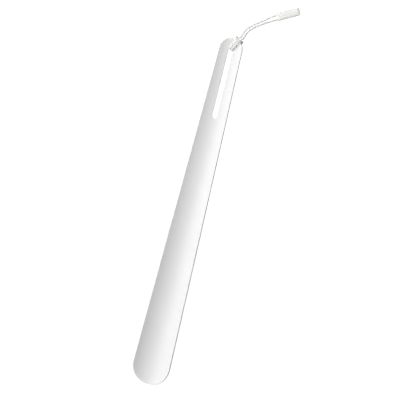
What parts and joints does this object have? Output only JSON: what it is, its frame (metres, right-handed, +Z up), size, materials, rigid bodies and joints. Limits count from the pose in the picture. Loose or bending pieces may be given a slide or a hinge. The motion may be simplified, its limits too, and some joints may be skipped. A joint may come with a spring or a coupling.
{
  "type": "long shoehorn",
  "caption": "Long-handled shoehorn: a slim curved blade of white coated sheet with rounded ends, a grip slot at the top and a cord loop that ends in a moulded sleeve.",
  "frame": {"origin": "on the hollow face of the blade, at the centre of the round top end of the grip slot", "axes": "+Z up along the blade towards the end with the slot, the shoe end pointing down; +Y out of the back of the blade, so the hollow face looks along -Y; +X across the blade, to the right seen from the hollow side"},
  "size_m": [0.0933, 0.012, 0.4713],
  "materials": {
    "coated_steel": "satin white powder coat on steel sheet",
    "cord": "tightly braided off-white cord",
    "sleeve": "matt moulded off-white elastomer"
  },
  "bodies": {
    "blade": {"blade": "coated_steel"},
    "hitch": {"cord_hitch": "cord"},
    "cord_loop": {"cord_strand_upper": "cord", "cord_strand_lower": "cord", "end_sleeve": "sleeve"}
  },
  "joints": [
    {"name": "hitch_slide", "type": "hinge", "parent": "blade", "child": "hitch", "pos_m": [0, 0, 0], "axis": [0.1305, 0.9914, 0], "range_deg": [-30, 30]},
    {"name": "cord_bend", "type": "hinge", "parent": "hitch", "child": "cord_loop", "pos_m": [0.01154, -0.0033, 0.0205], "axis": [1, 0, 0], "range_deg": [-90, 90], "stiffness_Nm_per_rad": 0.004}
  ]
}
